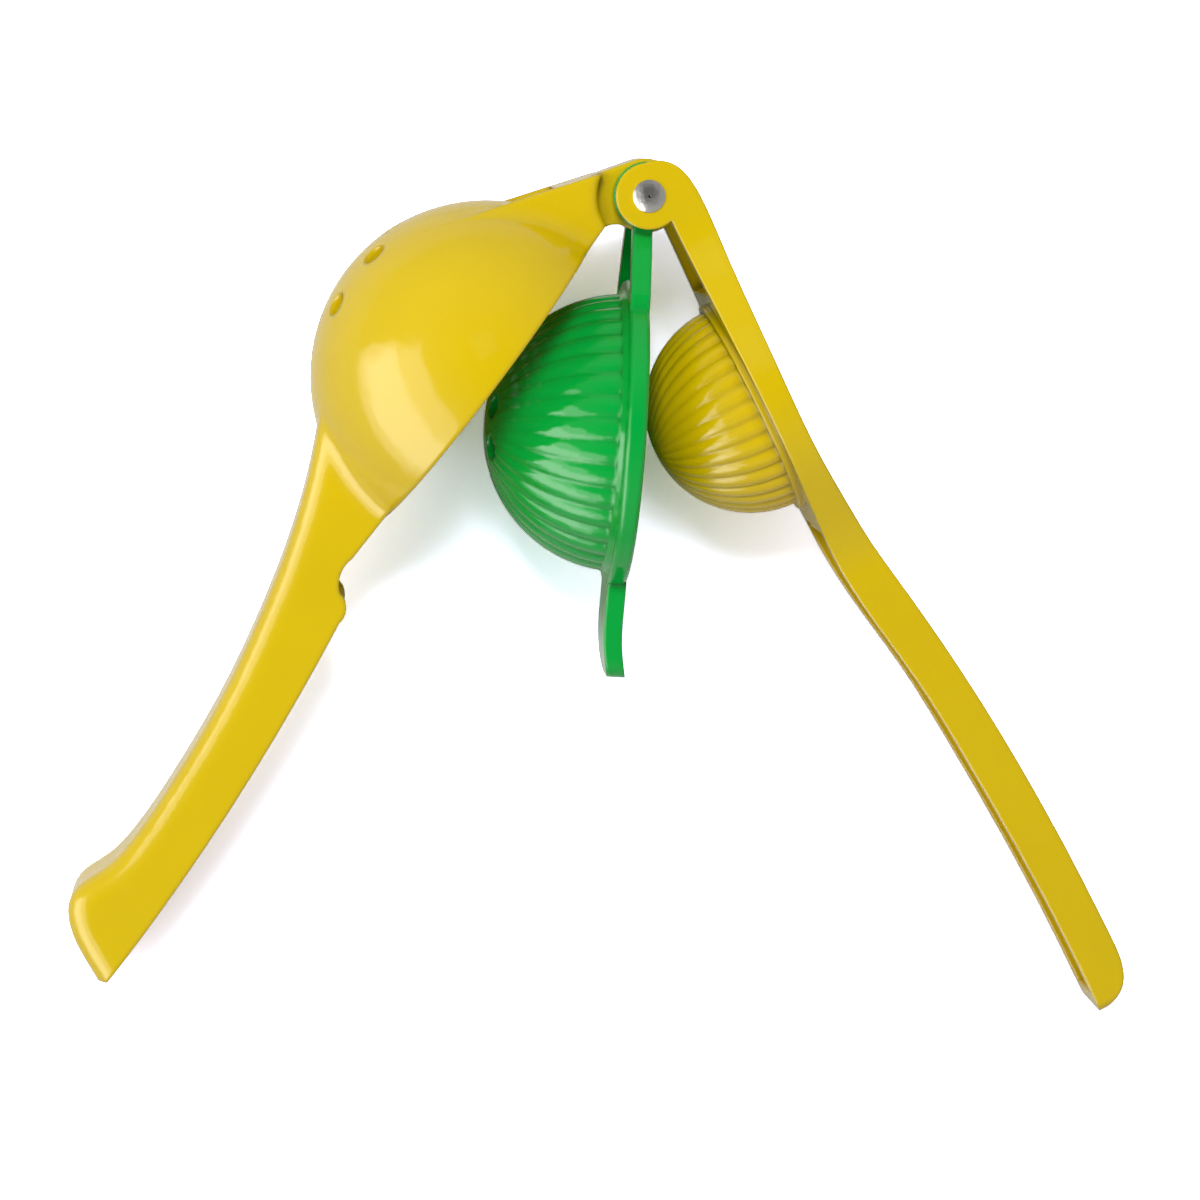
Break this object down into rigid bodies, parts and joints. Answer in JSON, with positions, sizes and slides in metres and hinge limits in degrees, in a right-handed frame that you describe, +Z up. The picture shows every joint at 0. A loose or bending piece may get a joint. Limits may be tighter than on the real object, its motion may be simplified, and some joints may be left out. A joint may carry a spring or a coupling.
{
  "type": "hinged lemon squeezer",
  "caption": "Hinged hand squeezer with a large drained bowl, a fluted inner cup and a fluted press dome on one rivet, opened for loading.",
  "frame": {"origin": "centre of the bounding box on the surface that the open squeezer lies on", "axes": "+X to the right across the open handles, +Y from the handle tips towards the hinge, +Z up; the hinge axis leans 11 degrees from +Z because the squeezer lies on the bowl's rim and the two handle tips"},
  "size_m": [0.2422, 0.1972, 0.0797],
  "materials": {
    "yellow_enamel": "gloss enamel on cast aluminium",
    "green_enamel": "gloss enamel on cast aluminium",
    "polished_steel": "polished"
  },
  "bodies": {
    "bowl": {"lemon_bowl_handle": "yellow_enamel"},
    "cup": {"lime_cup": "green_enamel"},
    "press": {"press_handle": "yellow_enamel", "hinge_rivet": "polished_steel", "rivet_washer": "polished_steel"}
  },
  "joints": [
    {"name": "cup_hinge", "type": "hinge", "parent": "bowl", "child": "cup", "pos_m": [0.01032, 0.08775, 0.04733], "axis": [0.0029, -0.1876, 0.9822], "range_deg": [-33.1, 56.9]},
    {"name": "press_hinge", "type": "hinge", "parent": "cup", "child": "press", "pos_m": [0.01032, 0.08775, 0.04733], "axis": [0.0029, -0.1876, 0.9822], "range_deg": [-30.2, 59.8]}
  ]
}
